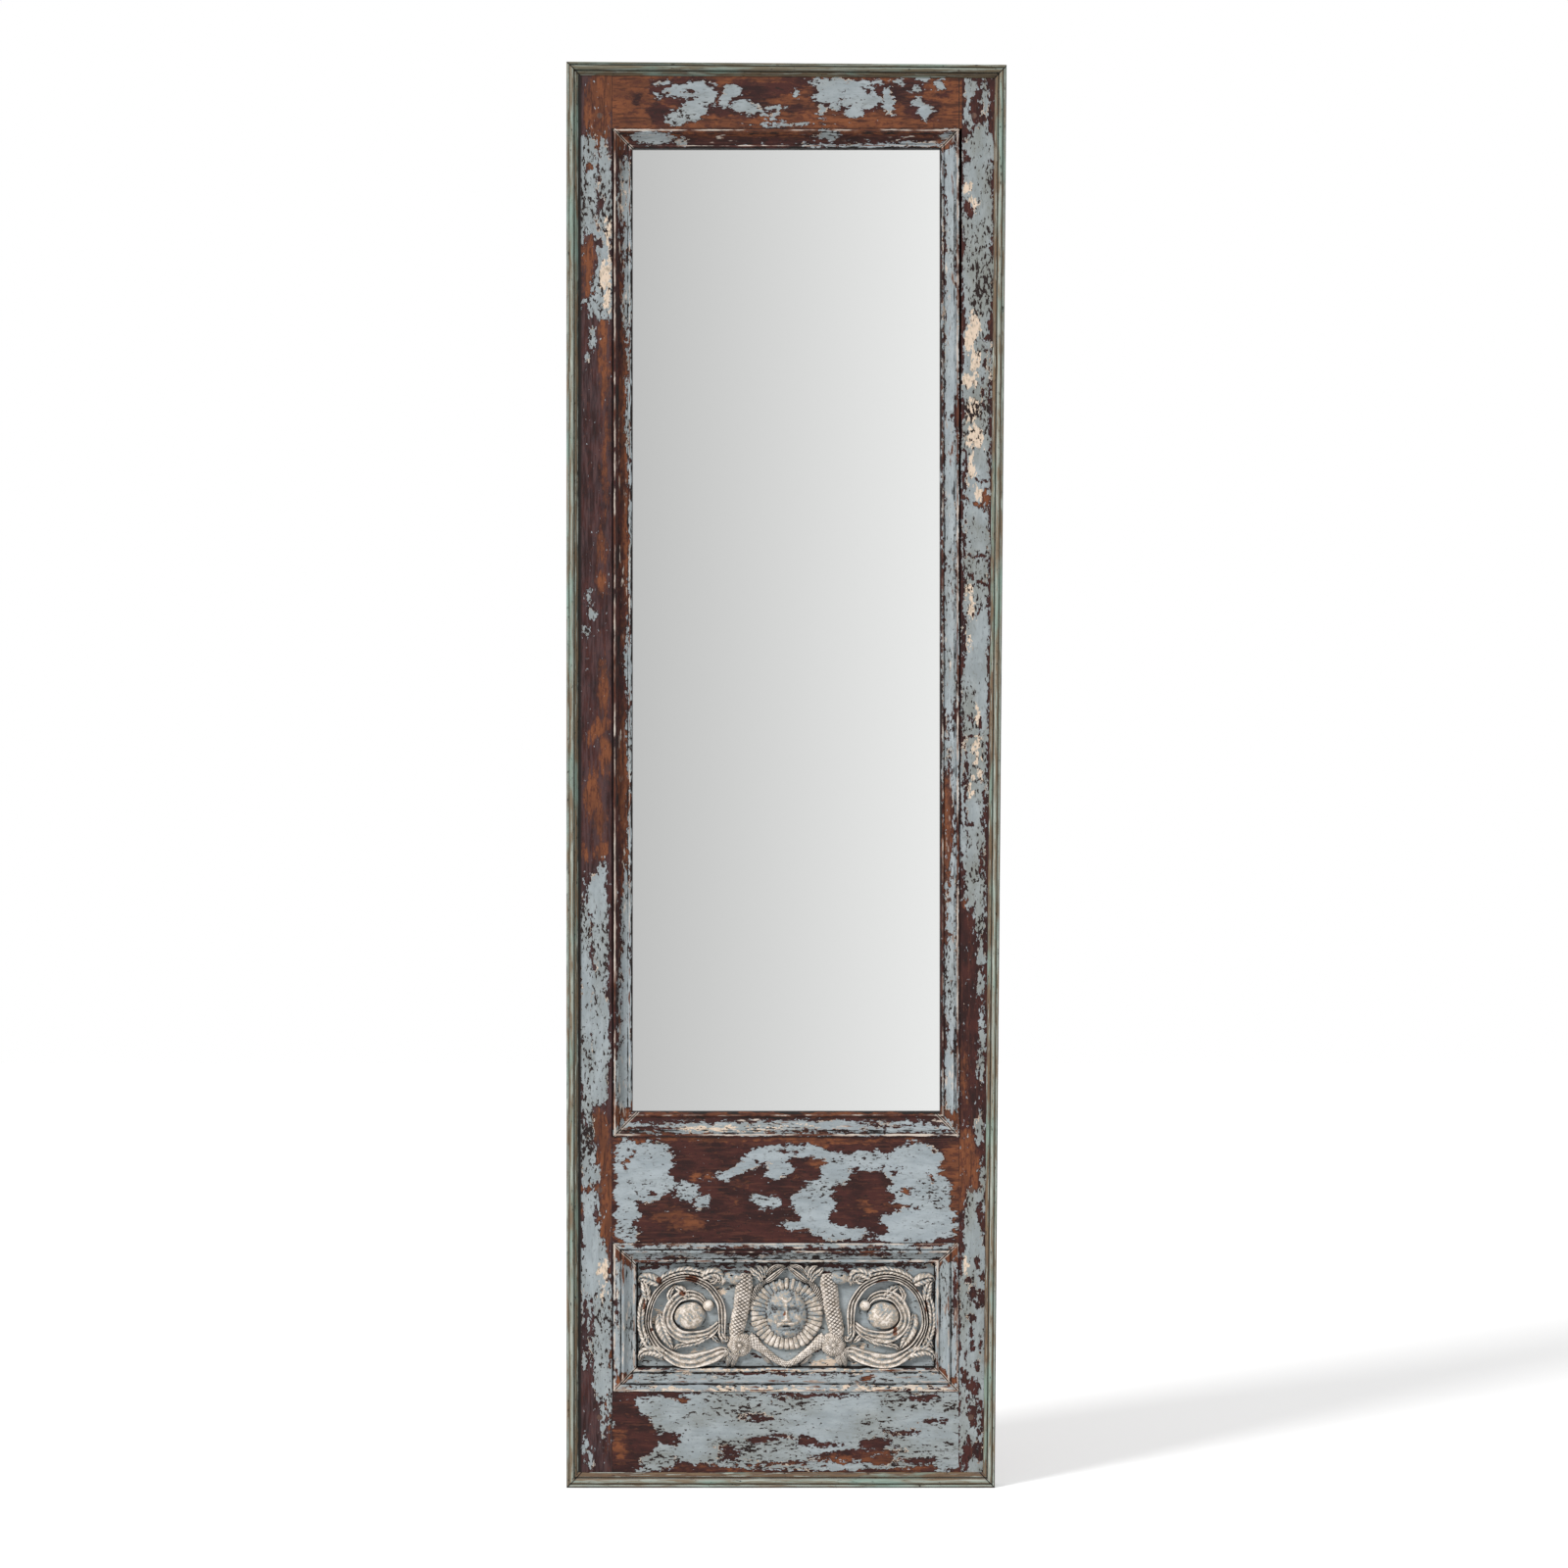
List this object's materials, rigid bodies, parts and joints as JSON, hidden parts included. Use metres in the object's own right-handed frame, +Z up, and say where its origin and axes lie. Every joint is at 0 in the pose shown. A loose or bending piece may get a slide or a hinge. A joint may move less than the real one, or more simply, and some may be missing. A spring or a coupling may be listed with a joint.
{
  "type": "mirror",
  "caption": "Tall wall mirror in an old painted door leaf: mirror glass above, carved panel below, mitred mouldings and a nailed border.",
  "frame": {"origin": "midway between the two hanging holes, on the plane of the wall behind the leaf", "axes": "+Z up along the leaf, +Y into the wall, so that the front faces -Y, +X to the right as seen from the front"},
  "size_m": [0.648, 0.051, 2.1],
  "materials": {
    "stile_paint": "flaking blue-grey paint over dark red-brown",
    "rail_paint": "flaking blue-grey paint over dark red-brown",
    "peg_wood": "worn end grain",
    "border_paint": "worn grey-green paint",
    "glass_moulding_paint": "worn blue-grey paint, cream edges",
    "panel_moulding_paint": "worn blue-grey paint, cream edges",
    "mirror_glass": "plain silvered glass",
    "backing_wood": "raw softwood",
    "panel_paint": "blue-grey paint",
    "carving_paint": "rubbed cream ground with blue-grey paint",
    "hanger_steel": "zinc-plated",
    "screw_steel": "zinc-plated",
    "bumper_rubber": "moulded"
  },
  "bodies": {
    "root": {"left_stile": "stile_paint", "right_stile": "stile_paint", "top_rail": "rail_paint", "lock_rail": "rail_paint", "bottom_rail": "rail_paint", "joint_pegs": "peg_wood", "border_left": "border_paint", "border_right": "border_paint", "border_top": "border_paint", "border_bottom": "border_paint", "glass_moulding_left": "glass_moulding_paint", "glass_moulding_right": "glass_moulding_paint", "glass_moulding_top": "glass_moulding_paint", "glass_moulding_bottom": "glass_moulding_paint", "panel_moulding_left": "panel_moulding_paint", "panel_moulding_right": "panel_moulding_paint", "panel_moulding_top": "panel_moulding_paint", "panel_moulding_bottom": "panel_moulding_paint", "mirror_glass": "mirror_glass", "backing_board": "backing_wood", "backing_strip_left": "backing_wood", "backing_strip_right": "backing_wood", "backing_strip_top": "backing_wood", "backing_strip_bottom": "backing_wood", "panel_board": "panel_paint", "scroll_left": "carving_paint", "scroll_right": "carving_paint", "dolphin_left": "carving_paint", "dolphin_right": "carving_paint", "crest": "carving_paint", "mask": "carving_paint", "hanger_left": "hanger_steel", "hanger_right": "hanger_steel", "hanger_screws": "screw_steel", "wall_bumpers": "bumper_rubber"}
  },
  "joints": []
}
